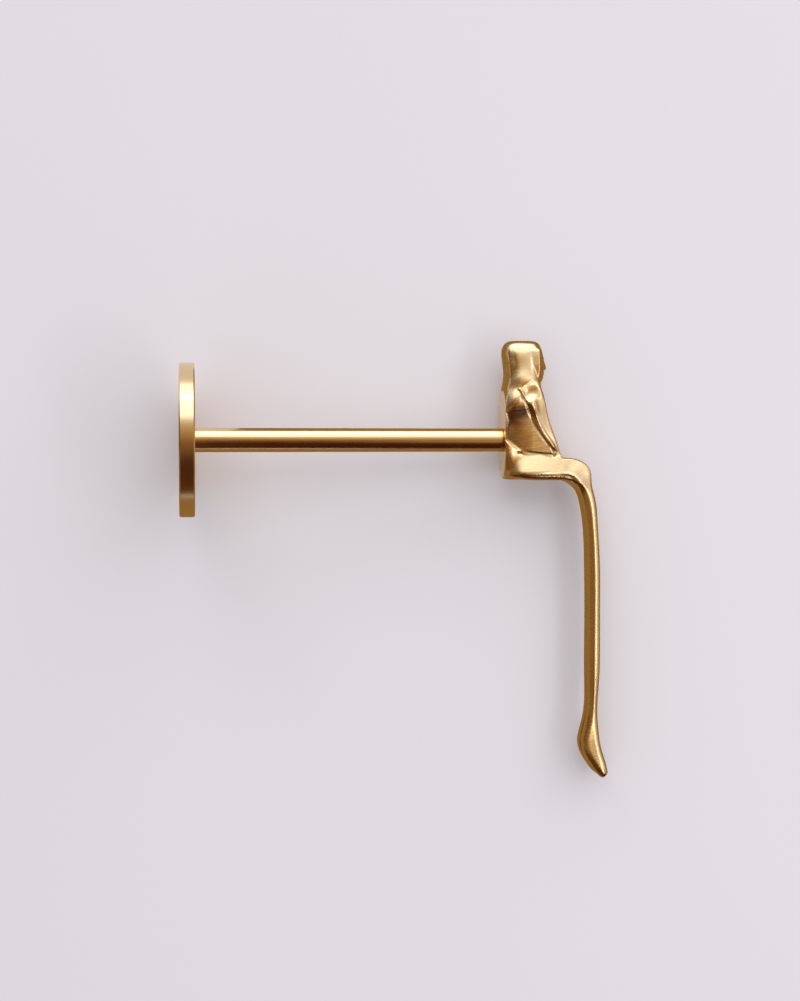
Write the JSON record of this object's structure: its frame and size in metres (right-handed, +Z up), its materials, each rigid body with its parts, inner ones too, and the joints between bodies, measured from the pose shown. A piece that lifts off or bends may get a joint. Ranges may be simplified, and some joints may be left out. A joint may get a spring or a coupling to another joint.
{
  "type": "curtain hook",
  "caption": "Wall-mounted curtain hook: a cast seated figure with long hanging legs, on a round bar that stands out from a round wall plate, to hold a drawn-back curtain.",
  "frame": {"origin": "centre of the wall plate's back face, on the stem's axis, midway between the two wall-screw holes", "axes": "+X away from the wall along the stem, +Z up, +Y across; the figure faces +X"},
  "size_m": [0.1413, 0.05, 0.1451],
  "materials": {
    "satin_brass": "turned and fine brushed satin",
    "cast_brass": "cast, hand brushed satin",
    "screw_steel": "zinc plated"
  },
  "bodies": {
    "root": {"wall_plate": "satin_brass", "stem": "satin_brass", "seated_figure": "cast_brass", "plate_screw": "screw_steel", "figure_stud": "screw_steel"}
  },
  "joints": []
}
